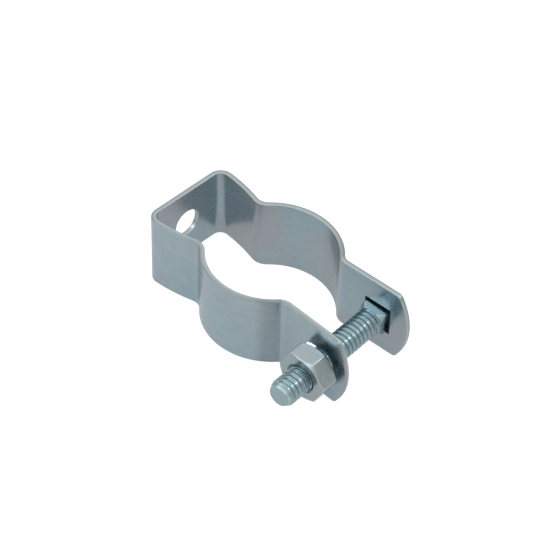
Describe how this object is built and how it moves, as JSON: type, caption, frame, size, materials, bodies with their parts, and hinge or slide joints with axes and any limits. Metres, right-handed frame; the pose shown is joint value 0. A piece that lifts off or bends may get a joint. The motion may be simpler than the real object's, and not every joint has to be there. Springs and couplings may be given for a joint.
{
  "type": "conduit clip",
  "caption": "Bent steel strip clip that grips a conduit between rounded lobes, with a back plate to fix it by and a carriage bolt and hex nut through its ears.",
  "frame": {"origin": "centre of the mounting hole, on the back plate's outer face", "axes": "+Y out of the back plate towards what the clip is fixed to, so the ears point to -Y; +X along the bolt to its head; +Z along the conduit, up as the clip lies on its strip's edges"},
  "size_m": [0.0398, 0.0597, 0.0184],
  "materials": {
    "zinc_strip": "zinc-plated steel strip, soft gloss with faint rolling lines",
    "zinc_bolt": "zinc-plated steel, rolled thread",
    "zinc_nut": "zinc-plated steel, turned faces"
  },
  "bodies": {
    "band": {"clip_band": "zinc_strip"},
    "bolt": {"carriage_bolt": "zinc_bolt"},
    "nut": {"hex_nut": "zinc_nut"}
  },
  "joints": [
    {"name": "nut_spin", "type": "hinge", "parent": "band", "child": "nut", "pos_m": [-0.01163, -0.05217, -0.00022], "axis": [-0.9988, -0.0499, 0.0003], "range_deg": [-40, 850]},
    {"name": "bolt_slide", "type": "slide", "parent": "band", "child": "bolt", "axis": [0.9988, 0.0499, -0.0003], "range_m": [-0.00014, 0.003]}
  ],
  "couplings": [
    {"joint": "nut_spin", "follows": "bolt_slide", "rad_per_m": 4947.4}
  ]
}
